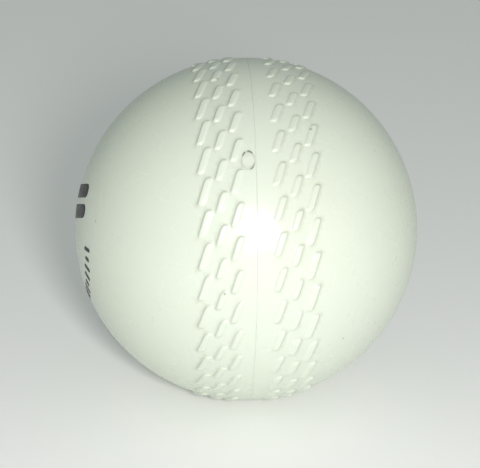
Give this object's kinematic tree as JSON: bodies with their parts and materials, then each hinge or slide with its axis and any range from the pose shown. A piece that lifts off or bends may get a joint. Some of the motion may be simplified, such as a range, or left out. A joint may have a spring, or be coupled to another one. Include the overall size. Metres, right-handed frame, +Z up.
{
  "type": "cricket ball",
  "caption": "Round white moulded plastic cricket ball, hollow, with raised slanting stitches in rows on both sides of a parting line.",
  "frame": {"origin": "centre of the ball, on the parting plane", "axes": "+X along the ball's axis, from the left half shell to the right one, square to the parting plane; -Y is the front, +Z is up"},
  "size_m": [0.072, 0.0726, 0.0726],
  "materials": {
    "shell": "gloss",
    "cement": "satin",
    "plug": "satin",
    "print_ink": "satin"
  },
  "bodies": {
    "root": {"left_shell": "shell", "right_shell": "shell", "cement_ring": "cement", "vent_plug": "plug"}
  },
  "joints": []
}
